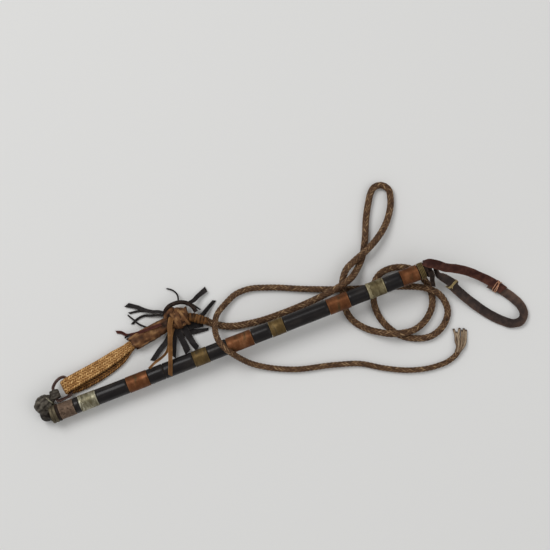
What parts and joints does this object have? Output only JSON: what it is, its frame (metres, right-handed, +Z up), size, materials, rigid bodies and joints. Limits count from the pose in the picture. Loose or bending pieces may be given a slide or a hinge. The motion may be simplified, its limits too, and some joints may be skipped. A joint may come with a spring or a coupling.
{
  "type": "riding whip",
  "caption": "Long-lashed riding whip: metal-banded leather-sleeved stock, plaited keeper on a leather ring, tasselled knot, round plaited thong laid in loops, and a wrist strap.",
  "frame": {"origin": "centre of the footprint of everything but the free thong, on the surface the whip lies on", "axes": "+X along the stock from its tip to its butt (the longest extent), +Z up from the surface, +Y towards the side that the keeper and knot lie on"},
  "size_m": [0.6187, 0.2467, 0.0479],
  "materials": {
    "copper": "worn patinated copper",
    "brass": "dull patinated brass",
    "nickel": "dull nickel silver",
    "stock_leather": "polished black-brown leather",
    "dark_leather": "dry dark leather",
    "head_leather": "dark weathered leather",
    "core_wood": "plain wood",
    "rawhide": "plaited rawhide",
    "sleeve_leather": "wrinkled brown leather",
    "tan_leather": "tan leather",
    "red_leather": "dark red leather",
    "tassel_leather": "black leather strip",
    "thong_leather": "round plaited leather",
    "strap_red_brown": "smooth red-brown leather",
    "strap_brown": "worn dark brown leather"
  },
  "bodies": {
    "stock": {"tip_brass_ring": "brass", "tip_leather_ring": "stock_leather", "tip_copper_band": "copper", "leather_sleeve_1": "stock_leather", "leather_sleeve_2": "stock_leather", "leather_sleeve_3": "stock_leather", "leather_sleeve_4": "stock_leather", "leather_sleeve_5": "stock_leather", "leather_sleeve_6": "stock_leather", "leather_sleeve_7": "stock_leather", "leather_sleeve_8": "stock_leather", "leather_sleeve_9": "stock_leather", "nickel_band_1": "nickel", "brass_band_1": "brass", "nickel_band_2": "nickel", "brass_band_2": "brass", "copper_band_1": "copper", "copper_band_2": "copper", "copper_band_3": "copper", "copper_band_4": "copper", "butt_collar": "dark_leather", "butt_tail": "dark_leather", "butt_wire_binding": "brass", "butt_wire_seat": "dark_leather", "core_rod": "core_wood", "head_knob": "head_leather", "head_eye": "head_leather", "strap_root_upper": "strap_red_brown", "strap_root_lower": "strap_brown", "thong": "thong_leather", "frayed_strand_1": "thong_leather", "frayed_strand_2": "thong_leather", "frayed_strand_3": "thong_leather", "frayed_strand_4": "thong_leather"},
    "lash": {"plaited_keeper": "rawhide", "keeper_sleeve": "sleeve_leather", "knot_core": "sleeve_leather", "knot_bight": "dark_leather", "knot_tan_wrap": "tan_leather", "tassel_strip_1": "tassel_leather", "tassel_strip_2": "tassel_leather", "tassel_strip_3": "tassel_leather", "tassel_strip_4": "tassel_leather", "tassel_strip_5": "red_leather", "tassel_strip_6": "tassel_leather", "tassel_strip_7": "tassel_leather", "tassel_strip_8": "tassel_leather", "tassel_strip_9": "tassel_leather", "tassel_strip_10": "tan_leather", "tassel_strip_11": "tan_leather", "tassel_strip_12": "tassel_leather", "tassel_strip_13": "tassel_leather", "tassel_strip_14": "tassel_leather", "tassel_strip_15": "tassel_leather"},
    "ring": {"leather_ring": "dark_leather"},
    "strap": {"strap_upper": "strap_red_brown", "strap_outer": "strap_brown", "strap_tab": "strap_brown", "copper_binding": "copper", "brass_binding": "brass"}
  },
  "joints": [
    {"name": "lash_lift", "type": "hinge", "parent": "stock", "child": "lash", "pos_m": [-0.2802, 0.0262, 0.016], "axis": [0, -1, 0], "range_deg": [0, 10]},
    {"name": "ring_rock", "type": "hinge", "parent": "lash", "child": "ring", "pos_m": [-0.2802, 0.0262, 0.016], "axis": [0, -1, 0], "range_deg": [-2, 4]},
    {"name": "strap_lift", "type": "hinge", "parent": "stock", "child": "strap", "pos_m": [0.2247, -0.0005, 0.036], "axis": [-0.6259, -0.7799, 0], "range_deg": [0, 100]}
  ]
}
